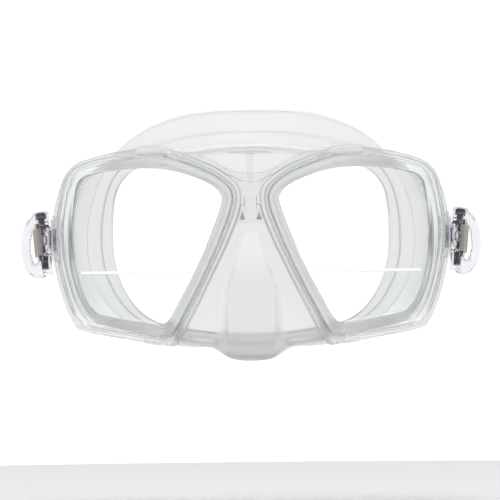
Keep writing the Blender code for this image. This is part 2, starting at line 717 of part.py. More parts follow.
def axle(name):
    low, high = AXLE_HEAD
    profile = [
        (0.0, high), (AXLE_HEAD_RADIUS - AXLE_ROUNDING, high),
        (AXLE_HEAD_RADIUS, high - AXLE_ROUNDING), (AXLE_HEAD_RADIUS, low), (AXLE_RADIUS, low),
        (AXLE_RADIUS, AXLE_BOTTOM + AXLE_ROUNDING), (AXLE_RADIUS - AXLE_ROUNDING, AXLE_BOTTOM),
        (0.0, AXLE_BOTTOM),
    ]  # fmt: skip
    return turned(name, profile, SMALL_ROUND)


def strap_roller(name):
    """A toothed roller on the axle."""
    teeth = []
    for tooth in range(ROLLER_TEETH):
        for radius, along in TOOTH_SHAPE:
            angle = 2 * math.pi * (tooth + along) / ROLLER_TEETH
            teeth.append((radius * math.cos(angle), radius * math.sin(angle)))
    turns = 2 * math.pi * np.arange(SMALL_ROUND) / SMALL_ROUND
    hole = [(AXLE_BORE * math.cos(angle), AXLE_BORE * math.sin(angle)) for angle in turns]
    length = ROLLER_SPAN[1] - ROLLER_SPAN[0]
    roller = extruded(name, [teeth, hole], length)
    # The teeth are drawn across Y, and the axle stands along Z.
    upright = Matrix.Rotation(math.pi / 2, 4, "X")
    middle = Matrix.Translation((0, 0, sum(ROLLER_SPAN) / 2 * MM))
    roller.data.transform(middle @ upright)
    return roller


def pawl(name):
    """The release lever: a barrel on its pin, a nose to the roller and a thumb tab."""
    barrel = cylinder(name, PAWL_BARREL, PAWL_SPAN, sides=SMALL_ROUND)
    low, high = PAWL_SPAN[0] + OVERLAP, PAWL_SPAN[1] - OVERLAP
    nose = block(name + "_nose", (*PAWL_NOSE[0], low), (*PAWL_NOSE[1], high))
    inset = PAWL_TAB_INSET
    tab = block(name + "_tab", (*PAWL_TAB[0], low + inset), (*PAWL_TAB[1], high - inset))
    tab.rotation_euler = (0, 0, PAWL_TAB_LEAN)
    combine(barrel, [nose, tab], "UNION")
    bore = cylinder(name + "_bore", PAWL_BORE, (-CUT, CUT), sides=BORE_ROUND)
    combine(barrel, [bore], "DIFFERENCE")
    return barrel


def pawl_pin(name):
    low = PAWL_SPAN[0] - EAR_GAP - EAR_THICKNESS
    high = PAWL_SPAN[1] + EAR_GAP + EAR_THICKNESS
    return cylinder(name, PAWL_PIN_RADIUS, (low, high), PAWL_AT, sides=12)


def build_side(side, sign, parts, looks):
    """Lens group and buckle of one side; the left is the right one's mirror image."""
    hand = empty(f"{side}_side", parts)
    hand.scale.x = sign
    plane = empty(f"{side}_lens_plane", parts, hand, (0, PLANE_Y, 0), (0, 0, WRAP))
    place(rim_loft(f"bezel_{side}", bezel_section), parts, plane, looks["frame"])
    place(lens(f"lens_{side}"), parts, plane, looks["glass"])
    place(reader(f"reader_{side}"), parts, plane, looks["glass"])

    fold = empty(f"{side}_fold", parts, hand, HINGE, (0, 0, FOLD_REST))
    upright = empty(f"{side}_hinge", parts, hand, HINGE)
    place(hinge_pin(f"hinge_pin_{side}"), parts, upright, looks["buckle"])
    arm = place(buckle_arm(f"buckle_arm_{side}"), parts, fold, looks["buckle"])
    swivel = empty(f"{side}_swivel", parts, fold, (STUD_AT, 0, 0), (0, SWIVEL_REST, 0))
    at_stud = empty(f"{side}_stud", parts, fold, (STUD_AT, 0, 0))
    place(swivel_stud(f"swivel_stud_{side}"), parts, at_stud, looks["buckle"])
    body = place(buckle_body(f"buckle_body_{side}"), parts, swivel, looks["buckle"])
    spindle = empty(f"{side}_spindle", parts, swivel, (*AXLE_AT, 0))
    place(axle(f"axle_{side}"), parts, spindle, looks["steel"])
    place(strap_roller(f"strap_roller_{side}"), parts, spindle, looks["roller"])
    lever = empty(f"{side}_lever", parts, swivel, (*PAWL_AT, 0))
    release = place(pawl(f"pawl_{side}"), parts, lever, looks["pawl"])
    place(pawl_pin(f"pawl_pin_{side}"), parts, swivel, looks["steel"])
    # Each helper goes where the piece that it cuts or joins has gone.
    for made in (arm, body, release):
        for step in made.modifiers:
            if step.type == "BOOLEAN":
                step.object.parent = made.parent


clear_scene()
mask = new_collection(OBJECT_NAME)
helpers_collection = new_collection("helpers")
LOOKS = {
    "frame": material("clear_polycarbonate", (0.90, 0.94, 0.91), 0.08, transmission=0.9, ior=1.58),
    "glass": material("tempered_glass", (0.88, 0.96, 0.92), 0.02, transmission=1.0, ior=1.52),
    "silicone": material("clear_silicone", (0.86, 0.86, 0.86), 0.35, transmission=0.6, ior=1.41),
    "buckle": material("clear_acetal", (0.86, 0.84, 0.90), 0.12, transmission=0.7, ior=1.48),
    "steel": material("dark_steel", (0.10, 0.09, 0.09), 0.35, metallic=0.8),
    "roller": material("dark_plastic", (0.05, 0.045, 0.045), 0.45),
    "pawl": material("tinted_plastic", (0.35, 0.28, 0.24), 0.3),
}
place(main_frame(), mask, look=LOOKS["frame"])
place(skirt(), mask, look=LOOKS["silicone"])
build_side("right", 1, mask, LOOKS)
build_side("left", -1, mask, LOOKS)
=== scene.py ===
"""The looks of a clear twin-lens diving mask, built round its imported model.

X runs across the face, -Y is the way the mask looks and +Z is up. Sizes are in millimetres
and MM turns them into metres.
"""

import json
import math

import bmesh
import bpy
import numpy as np
from mathutils import Matrix, Vector
from mathutils.geometry import delaunay_2d_cdt


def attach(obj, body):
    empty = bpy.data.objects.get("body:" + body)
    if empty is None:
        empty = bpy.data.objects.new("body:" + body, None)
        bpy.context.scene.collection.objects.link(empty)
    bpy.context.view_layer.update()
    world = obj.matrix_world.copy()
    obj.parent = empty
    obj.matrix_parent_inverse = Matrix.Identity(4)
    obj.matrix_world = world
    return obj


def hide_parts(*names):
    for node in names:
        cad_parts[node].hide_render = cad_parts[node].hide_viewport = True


MM = 0.001
SIDES = (("right", 1), ("left", -1))

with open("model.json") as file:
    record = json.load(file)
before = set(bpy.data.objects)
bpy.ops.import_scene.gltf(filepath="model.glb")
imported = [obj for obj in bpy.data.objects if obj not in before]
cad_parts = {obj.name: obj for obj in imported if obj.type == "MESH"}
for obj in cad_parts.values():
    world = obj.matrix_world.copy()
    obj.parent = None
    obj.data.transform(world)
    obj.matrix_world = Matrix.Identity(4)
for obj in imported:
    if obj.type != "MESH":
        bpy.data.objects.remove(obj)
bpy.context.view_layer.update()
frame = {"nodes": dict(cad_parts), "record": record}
nodes = frame["nodes"]

# The design's own outlines: matching points (x, z) outside the rim and on its opening.
PLANE_Y = -49.5
WRAP = math.radians(4.0)
RIM_OUTSIDE = [
    (4.2, 17.5), (11.9, 24.0), (20.9, 28.3), (30.5, 31.8), (39.5, 33.0), (54.1, 31.0),
    (65.6, 27.9), (70.5, 25.0), (73.8, 20.0), (77.4, 7.5), (78.0, -3.5), (76.9, -15.0),
    (73.5, -28.1), (69.8, -36.5), (66.0, -39.4), (50.0, -42.4), (34.0, -45.2),
    (29.8, -45.3), (27.4, -41.9), (22.9, -33.6), (18.2, -24.4), (13.2, -14.2),
    (8.0, -3.2), (3.6, 9.0),
]  # fmt: skip
RIM_OPENING = [
    (11.0, 13.8), (14.8, 18.0), (23.5, 21.8), (32.5, 24.1), (41.5, 24.7), (53.5, 24.3),
    (63.0, 22.5), (66.8, 20.6), (68.7, 16.8), (69.8, 5.5), (69.9, -4.0), (68.9, -15.0),
    (65.8, -25.5), (61.5, -31.4), (57.5, -33.3), (46.5, -35.6), (37.0, -37.1),
    (33.2, -36.1), (30.4, -32.6), (27.2, -26.6), (23.2, -19.2), (18.9, -10.4),
    (14.6, 0.2), (11.3, 9.4),
]  # fmt: skip
RIM_STEPS = 8
RIM_DENSITY = 64

# Depths in front of the lens plane (-Y), and places across the rim: 0 outside, 1 inside.
SHELF_DEPTH = 3.5
WALL_DEPTH = 9.1
WALL_INSIDE = 0.25
SHELF_INSIDE = 0.76
WALL_ROUNDING = 0.5
WALL_CORNER = (0.06, 0.05)
FLANGE_DEPTH = 2.2
FLANGE_STEP = 0.4
FLANGE_REACH = 0.26
FLANGE_X = (5.0, 31.0)
FLANGE_ABOVE = 15.0
LENS_THICKNESS = 3.5
LENS_EDGE = 0.52
LENS_BACK = 3.8
LENS_ROUNDING = 0.25
BEZEL_BACK = 4.0
BEZEL_OUTSIDE = 0.30
BEZEL_LEG = 0.47
BEZEL_UNDERSIDE = 7.6
BEZEL_FRONT = 10.9
BEZEL_LIP_UNDERSIDE = 7.2
BEZEL_SIDE = 9.4
BEZEL_LAND = (0.45, 0.70)
BEZEL_CORNER = (0.07, 10.2)
BEZEL_SLOPE = ((0.93, 9.6), (1.0, 8.5))
TAB_PROUD = -0.045
TAB_UNDERSIDE = 7.5
NOTCH_DEPTH = 7.1
TAB_CLEARANCE = 0.45
TAB_END = 0.12
# The bezel's catch tabs: from which x to which, and on its top (1) or its bottom (-1) side.
TABS = [(30.5, 43.8, 1), (35.3, 42.3, -1)]
READER_THICKNESS = 1.5
READER_BACK = 2.0
READER_EDGE = 1.10
READER_TOP = -16.8
READER_ROUNDING = 0.2
READER_CORNER = 0.5

# Bridge between the rims: outlines (x, z) of its upper web, of the thin plate where the two
# brow flanges meet, of the floor over the nose and of the nub in the middle, each with its
# thickness and the depth of its middle.
BRIDGE_WEB = [(-2, 19.0), (3, 19.4), (8, 21.9), (8.2, 20.6), (5.2, 17), (4.9, 9.6), (-2, 11)]
BRIDGE_PLATE = [(-2.6, 22.7), (5.2, 22.7), (11, 25.2), (12, 23.5), (8, 19.5), (-2.6, 18)]
BRIDGE_FLOOR = [(-2, 13), (5, 13), (9.5, 1.5), (5, 2.6), (-2, 3.2)]
BRIDGE_NUB = [(-2, 13), (2, 13), (1.6, 5), (0.6, 3.4), (-2, 3.5)]
BRIDGE_PARTS = {
    "web": (BRIDGE_WEB, 6.6, 4.9),
    "plate": (BRIDGE_PLATE, 2.0, 1.15),
    "floor": (BRIDGE_FLOOR, 2.6, 1.4),
    "nub": (BRIDGE_NUB, 8.4, 5.3),
}

# How far the edges of these bridge parts are rounded, and in how many steps.
BRIDGE_ROUNDING = {"web": (0.5, 3), "plate": (0.3, 2), "nub": (1.1, 5)}

# A three-sided dimple in the floor beside the nub: its middle (x, z), the radius of its mouth,
# how it is stretched, the depths of its mouth and its bottom, and the radius of its bottom.
DIMPLE_AT = (3.15, 5.3)
DIMPLE_RADIUS = 1.75
DIMPLE_STRETCH = (0.8, 1.0, 1.45, 1.0)
DIMPLE_DEPTHS = (2.9, 0.35)
DIMPLE_POINT = 0.02

# Skirt: half loops from the mid-plane over the brow to the mid-plane under the nose.
WEB_LOOP = [
    (0.0, 31.5), (14.0, 30.8), (26.0, 29.2), (41.0, 30.0), (56.0, 27.6), (66.5, 22.0),
    (71.5, 12.0), (73.2, -4.0), (71.6, -18.0), (67.0, -30.5), (60.0, -36.6),
    (45.0, -40.2), (31.5, -43.2), (22.0, -45.2), (15.0, -46.1), (10.6, -49.2),
    (6.6, -50.9), (0.0, -51.4),
]  # fmt: skip
FOLD_LOOP = [
    (0.0, -22.0, 48.3), (15.0, -21.4, 47.9), (29.0, -19.2, 45.9), (42.5, -15.0, 40.6),
    (53.0, -10.0, 32.6), (60.5, -5.5, 22.4), (65.5, -2.0, 9.0), (67.0, -1.0, -5.0),
    (65.0, -1.0, -18.0), (59.5, -3.0, -28.5), (52.0, -6.0, -36.0), (41.0, -11.0, -42.0),
    (30.5, -16.0, -45.6), (22.5, -20.5, -46.4), (15.6, -24.0, -46.6), (11.0, -27.5, -49.2),
    (6.8, -29.5, -50.9), (0.0, -30.5, -51.4),
]  # fmt: skip
LIP_LOOP = [
    (0.0, -27.5, 33.2), (13.0, -27.0, 32.6), (25.0, -25.0, 31.0), (37.0, -20.5, 28.2),
    (47.0, -15.0, 24.0), (53.0, -10.5, 17.0), (55.0, -7.0, 6.5), (55.2, -5.5, -5.5),
    (54.0, -5.5, -14.5), (50.8, -7.5, -23.2), (45.4, -11.0, -31.0), (38.8, -15.0, -35.8),
    (31.5, -19.5, -38.0), (24.5, -24.0, -39.2), (18.5, -27.5, -40.0), (12.8, -31.0, -40.6),
    (6.6, -33.0, -41.0), (0.0, -33.8, -41.2),
]  # fmt: skip
SKIRT_WALL = 1.5
SKIRT_STEPS = 5
# Rings between the web and the fold, and between the fold and the lip. The first number is the
# share of the way across. The second is a step along Y (mm), or for the waist the share of it.
SHOULDER = (0.10, 3.0)
WAIST = (0.22, 0.55)
TURN_IN = (0.30, -0.45)
RING_STEPS = 4
WEB_DEPTH = -0.35
COLLAR_EDGE = 0.80
COLLAR_DEPTH = 3.2
COLLAR_STEPS = 3
POCKET_TOP = 0.0
POCKET_TIP = -38.0
POCKET_BOTTOM = -51.4
POCKET_REACH = 21.0
POCKET_BOTTOM_REACH = 14.0
POCKET_HALF_WIDTH = 14.2
POCKET_TOP_HALF_WIDTH = 3.6
POCKET_WIDENING = 0.45
POCKET_SHOULDER = 0.64
POCKET_LEAST_HALF_WIDTH = 1.0
POCKET_RISE_POWER = 0.9
# The web's inner points: their spacing up and across, how far from the mid-plane they reach,
# how far above the web's foot they start, and how near to an edge they may come, as a share of
# the spacing. Points nearer to each other than WEB_MERGE (mm) become one.
WEB_GRID = 1.7
WEB_GRID_ACROSS = 0.7 * WEB_GRID
WEB_GRID_WIDTH = 34.0
WEB_GRID_FOOT = 1.0
WEB_GRID_NEAREST = 0.5
WEB_MERGE = 1e-4
# The skirt's wall thins towards the face: from this Y on, to this share of it at Y = 0.
THINS_FROM = -30.0
REAR_SHARE = 0.85
# The inner bead: its share of the way from the fold to the lip, its step along Y, its radius.
BEAD_PLACE = 0.60
BEAD_LIFT = -0.9
BEAD_RADIUS = 0.45
RIB_BLOCKS = (
    ((-1.5, -49.45, 19.2), (1.5, -49.13, 30.4)),
    ((-9.0, -49.55, 29.9), (9.0, -49.13, 30.7)),
)
RIB_ROUNDING = 0.14

# A glowing strip along the reading segment's top edge, a painted highlight: its height, and how far
# it stays inside the segment.
HIGHLIGHT_STRIP_HEIGHT = 1.0
HIGHLIGHT_STRIP_ENDS = 0.6
HIGHLIGHT_STRIP_INSET = 0.15

# The silicone's colour over the forehead, and painted shade on the walls and the web, deeper on
# the nose pocket, with the heights and the places along Y between which one turns into the next.
SILICONE_FOREHEAD = (0.955, 0.955, 0.955)
SILICONE_WALL_SHADE = (0.83, 0.835, 0.825)
SILICONE_NOSE_SHADE = (0.735, 0.735, 0.735)
FOREHEAD_Z = (31.0, 36.0)
NOSE_Y = (-50.0, -60.0)
# Walls seen edge-on from the front come out too dark, so their colour is lighter: on the walls
# and on the pocket's sides. EDGE_ON is how squarely a face looks up, down or aside where the
# lighter colour starts and ends.
SILICONE_EDGE_ON = (0.975, 0.975, 0.975)
SILICONE_POCKET_SIDE = (0.90, 0.90, 0.90)
EDGE_ON = (0.45, 0.85)
# How much light the silicone lets through over the forehead and below it.
SILICONE_CLEAR = (0.82, 0.88)

# Painted shade on clear plastic faces seen edge-on: how squarely a face looks along Y where the
# shade starts and ends, and the shade on the bezels and on the frame. The frame's is deeper near
# the bridge, and EDGE_FADES are the places off the mid-plane between which it grows paler.
EDGE_FACING = (0.60, 0.95)
EDGE_SHADE = (0.78, 0.785, 0.81)
BEZEL_EDGE_SHADE = (0.90, 0.90, 0.93)
BRIDGE_EDGE_SHADE = (0.30, 0.29, 0.36)
EDGE_FADES = (14.0, 36.0)
# The nub's own edges stay clear: places off the mid-plane between which the painted shade sets in.
NUB_SIDE = (2.05, 2.35)
# Painted shade on the bezels at the temples, where the web reaches behind only part of them, and
# the places off the mid-plane between which it sets in.
BEZEL_TEMPLE_SHADE = (0.83, 0.85, 0.835)
BEZEL_TEMPLE_SHADE_X = (60.0, 70.0)
# Depths between which the rim's front face takes painted shade, and that shade.
WALL_SHADE_DEPTH = (8.2, 8.9)
WALL_FRONT_SHADE = (0.52, 0.54, 0.52)
# The painted shade grows from the bridge, where the web behind the frame already darkens it,
# outwards.
WALL_SHADE_GROWS = (2.4, 62.0)
# The middle part of a noise's values, between which roughness goes from one end to the other.
NOISE_SPAN = (0.3, 0.7)

# Painted highlights: pale rings round the dark axles and rollers, their spacing, width and the place
# of one (mm).
AXLE_DIRECTION = (0.0, 0.19, 0.98)
PAINTED_RING_HIGHLIGHTS = (2.9, 0.7, -4.9)
RING_HIGHLIGHT = (0.30, 0.29, 0.30)

# Hinge knuckles on the frame.
HINGE = (77.0, -39.5, -3.2)
KNUCKLE_RADIUS = 2.4
KNUCKLE_INNER = 4.9
KNUCKLE_OUTER = 8.2
KNUCKLE_ROOT_X = (-2.25, 1.5)
KNUCKLE_ROOT_Y = (-7.6, -0.1)
KNUCKLE_INSET = 0.08
PIN_BORE = 1.2
BORE_REACH = 14.0
EDGE_BEVEL = 0.14

# Angles in degrees: edges sharper than FLAT_ANGLE keep the flat faces beside them truly flat,
# those sharper than BEVEL_ANGLE are rounded, and CAD_ANGLE is for the pieces kept from the CAD.
FLAT_ANGLE = 14
BEVEL_ANGLE = 40
CAD_ANGLE = 30
# Points nearer than these (m) become one: in an outline, across a mirror and on the skirt.
SAME_POINT = 1e-6
MIRROR_MERGE = 1e-5
SKIRT_MERGE = 2e-5

# The view: square on from the front, far away and very slightly rolled.
VIEW_DISTANCE = 2500.0
VIEW_WIDTH = 197.5
VIEW_MIDDLE = (-0.4, -7.9)
VIEW_ROLL = math.radians(-0.6)
VIEW_END = 100000.0
SENSOR = 36.0
FLOOR_Z = -110.0
FLOOR_RADIUS = 500.0
LIGHT_AT = (0.0, -600.0, 1000.0)
LIGHT_SIZE = 350.0
LIGHT_POWER = 4.0
# Brightness of the surroundings by the angle (degrees) from straight behind the mask, and
# their colour straight behind the mask and straight behind the camera.
SKY_LEVELS = ((30, 1.14), (50, 1.05), (68, 0.80), (86, 0.36), (104, 0.50), (135, 0.80))
SKY_BLUE = 1.01
SKY_BEHIND_MASK = (1.14, 1.14, 1.14, 1)
SKY_BEHIND_CAMERA = (0.85, 0.85, 0.86, 1)
# How often light may pass through clear walls, and how often it may be mirrored.
CLEAR_BOUNCES = 32
GLOSSY_BOUNCES = 8


# Shape helpers


def smooth_path(points, steps, closed):
    """A Catmull-Rom curve through the points, with this many steps to each of them."""
    points = np.asarray(points, float)
    if closed:
        padded = np.concatenate([points[-1:], points, points[:2]])
    else:
        first = 2 * points[0] - points[1]
        last = 2 * points[-1] - points[-2]
        padded = np.concatenate([[first], points, [last]])
    found = []
    for a, b, c, d in zip(padded, padded[1:], padded[2:], padded[3:]):
        for t in np.arange(steps) / steps:
            found.append(
                0.5 * (2 * b + (c - a) * t + (2 * a - 5 * b + 4 * c - d) * t**2
                       + (3 * b - a - 3 * c + d) * t**3)
            )  # fmt: skip
    if not closed:
        found.append(points[-1])
    return np.array(found)


def mirrored_loop(points, steps):
    """Half a loop from mid-plane to mid-plane, smooth where its mirror image joins it."""
    points = np.asarray(points, float)
    flip = np.array([-1.0] + [1.0] * (points.shape[1] - 1))
    whole = smooth_path(np.concatenate([points, points[-2:0:-1] * flip]), steps, True)
    half = whole[: (len(points) - 1) * steps + 1].copy()
    half[[0, -1], 0] = 0.0
    return half


def new_object(name, data):
    made = bpy.data.objects.new(name, data)
    bpy.context.scene.collection.objects.link(made)
    return made


def shade(mesh, angle):
    """Smooth shading, except across edges sharper than this many degrees."""
    mesh.shade_smooth()
    mesh.set_sharp_from_angle(angle=math.radians(angle))


def mesh_object(name, bm, angle=35):
    bmesh.ops.recalc_face_normals(bm, faces=bm.faces)
    mesh = bpy.data.meshes.new(name)
    bm.to_mesh(mesh)
    bm.free()
    shade(mesh, angle)
    return new_object(name, mesh)


def add_loft(bm, rings, wrap_rings=False, wrap_points=True):
    """Quads between rings of equally many points (mm); both ways may close on themselves."""
    rows = [[bm.verts.new(np.asarray(point) * MM) for point in ring] for ring in rings]
    pairs = list(zip(rows, rows[1:]))
    if wrap_rings:
        pairs.append((rows[-1], rows[0]))
    for one, two in pairs:
        last = len(one) if wrap_points else len(one) - 1
        for i in range(last):
            j = (i + 1) % len(one)
            bm.faces.new((one[i], one[j], two[j], two[i]))


def add_closed_line(curve, points):
    """A closed line through the points (x, y, z), in mm, added to the curve."""
    spline = curve.splines.new("POLY")
    spline.points.add(len(points) - 1)
    spline.use_cyclic_u = True
    for point, place in zip(spline.points, points):
        point.co = (*(np.asarray(place) * MM), 1)


def extruded(name, outline, thickness, rounding=0.0, segments=1, angle=35):
    """The mesh of a flat outline (x, z) with even thickness along Y, centred on Y = 0."""
    curve = bpy.data.curves.new(name, "CURVE")
    curve.dimensions = "2D"
    curve.fill_mode = "BOTH"
    curve.extrude = (thickness / 2 - rounding) * MM
    curve.bevel_depth = rounding * MM
    curve.bevel_resolution = segments - 1
    curve.offset = -rounding * MM
    add_closed_line(curve, [(x, z, 0.0) for x, z in outline])
    drawn = new_object(name + "_outline", curve)
    graph = bpy.context.evaluated_depsgraph_get()
    mesh = bpy.data.meshes.new_from_object(drawn.evaluated_get(graph))
    bpy.data.objects.remove(drawn, do_unlink=True)
    bm = bmesh.new()
    bm.from_mesh(mesh)
    bpy.data.meshes.remove(mesh)
    bmesh.ops.remove_doubles(bm, verts=bm.verts, dist=SAME_POINT)
    # The curve's own plane is turned so that its thickness runs along Y.
    bmesh.ops.rotate(bm, verts=bm.verts, matrix=Matrix.Rotation(math.pi / 2, 3, "X"))
    return mesh_object(name, bm, angle)


def add_block(bm, low, high):
    """A box between two corners (mm)."""
    low, high = np.asarray(low, float), np.asarray(high, float)
    size = Matrix.Diagonal((*((high - low) * MM), 1))
    bmesh.ops.create_cube(bm, size=1, matrix=Matrix.Translation((low + high) / 2 * MM) @ size)


def block(name, low, high):
    bm = bmesh.new()
    add_block(bm, low, high)
    return mesh_object(name, bm)


def cylinder(name, radius, span, at, sides=32):
    """An upright cylinder over span, with its axis at (x, y)."""
    bm = bmesh.new()
    bmesh.ops.create_cone(
        bm,
        cap_ends=True,
        segments=sides,
        radius1=radius * MM,
        radius2=radius * MM,
        depth=(span[1] - span[0]) * MM,
        matrix=Matrix.Translation(np.array((*at, sum(span) / 2)) * MM),
    )
    return mesh_object(name, bm)


def combine(target, helpers, operation):
    """Joins helpers to the target or cuts them from it, and leaves one plain mesh."""
    for helper in helpers:
        step = target.modifiers.new(helper.name, "BOOLEAN")
        step.operation = operation
        step.object = helper
        step.solver = "EXACT"
    bake(target)
    for helper in helpers:
        bpy.data.objects.remove(helper, do_unlink=True)


def bake(made):
    """Turns the object's modifiers into plain mesh."""
    graph = bpy.context.evaluated_depsgraph_get()
    mesh = bpy.data.meshes.new_from_object(made.evaluated_get(graph))
    made.modifiers.clear()
    made.data = mesh


def mirror_across(made):
    """Adds the mirror image across the mid-plane, as a modifier."""
    mirror = made.modifiers.new("both_sides", "MIRROR")
    mirror.use_clip = True
    mirror.merge_threshold = MIRROR_MERGE
    return mirror


def rim_places():
    """Places round the rim as fractions of its control points, closer at the tabs' ends."""
    count = len(RIM_OUTSIDE)
    places = list(np.arange(count * RIM_STEPS) / RIM_STEPS)
    dense = smooth_path(RIM_OUTSIDE, RIM_DENSITY, True)
    for start, end, side in TABS:
        for edge, outward in ((start, -1), (end, 1)):
            for start_of_end in (0.0, TAB_CLEARANCE):
                for shift in (start_of_end - TAB_END, start_of_end + TAB_END):
                    far = np.abs(dense[:, 0] - edge - outward * shift)
                    far[dense[:, 1] * side < 0] = np.inf
                    places.append(np.argmin(far) / RIM_DENSITY)
    return np.unique(places)


def on_path(points, places):
    dense = smooth_path(points, RIM_DENSITY, True)
    return dense[(np.round(places * RIM_DENSITY).astype(int)) % len(dense)]


def in_tab(point, margin):
    return any(
        start - margin < point[0] < end + margin and point[1] * side > 0
        for start, end, side in TABS
    )


def rim_loop(across):
    """The loop (x, z) at this place across the rim, from 0 outside to 1 at the opening."""
    places = rim_places()
    outside = on_path(RIM_OUTSIDE, places)
    return outside + across * (on_path(RIM_OPENING, places) - outside)


def rim_loft(name, section):
    """A closed rim whose section (across, depth) is drawn at each place round the rim."""
    outside, opening = rim_loop(0), rim_loop(1)
    rings = []
    for outer, inner in zip(outside, opening):
        ring = []
        for across, depth in section(outer):
            x, z = outer + across * (inner - outer)
            ring.append((x, -depth, z))
        rings.append(ring)
    bm = bmesh.new()
    add_loft(bm, rings, wrap_rings=True)
    return mesh_object(name, bm)


def frame_section(outer):
    start, end = FLANGE_X
    along = (outer[0] - start) / (end - start)
    brow = outer[1] > FLANGE_ABOVE and 0 < along < 1
    reach = -FLANGE_REACH * math.sin(math.pi * along) ** 0.5 if brow else 0.0
    top = NOTCH_DEPTH if in_tab(outer, TAB_CLEARANCE) else WALL_DEPTH
    return [
        (reach, 0.0),
        (reach, FLANGE_DEPTH),
        (0.0, FLANGE_DEPTH + FLANGE_STEP),
        (0.0, top - WALL_ROUNDING),
        (WALL_CORNER[0], top),
        (WALL_INSIDE - WALL_CORNER[1], top),
        (WALL_INSIDE, top - WALL_ROUNDING),
        (WALL_INSIDE, SHELF_DEPTH),
        (SHELF_INSIDE, SHELF_DEPTH),
        (SHELF_INSIDE, 0.0),
    ]


def bezel_section(outer):
    edge = TAB_PROUD if in_tab(outer, 0) else BEZEL_OUTSIDE
    return [
        (BEZEL_OUTSIDE, BEZEL_BACK),
        (BEZEL_OUTSIDE, BEZEL_LIP_UNDERSIDE),
        (edge, TAB_UNDERSIDE),
        (edge, BEZEL_SIDE),
        (edge + BEZEL_CORNER[0], BEZEL_CORNER[1]),
        (BEZEL_LAND[0], BEZEL_FRONT),
        (BEZEL_LAND[1], BEZEL_FRONT),
        *BEZEL_SLOPE,
        (1.0, BEZEL_UNDERSIDE),
        (BEZEL_LEG, BEZEL_UNDERSIDE),
        (BEZEL_LEG, BEZEL_BACK),
    ]


def to_world(x, depth, z):
    """A point of the right lens plane, given its depth in front of the plane."""
    return np.array([
        x * math.cos(WRAP) + depth * math.sin(WRAP),
        PLANE_Y + x * math.sin(WRAP) - depth * math.cos(WRAP),
        z,
    ])  # fmt: skip


def smoothstep(low, high, value):
    t = np.clip((value - low) / (high - low), 0, 1)
    return t * t * (3 - 2 * t)


# Materials


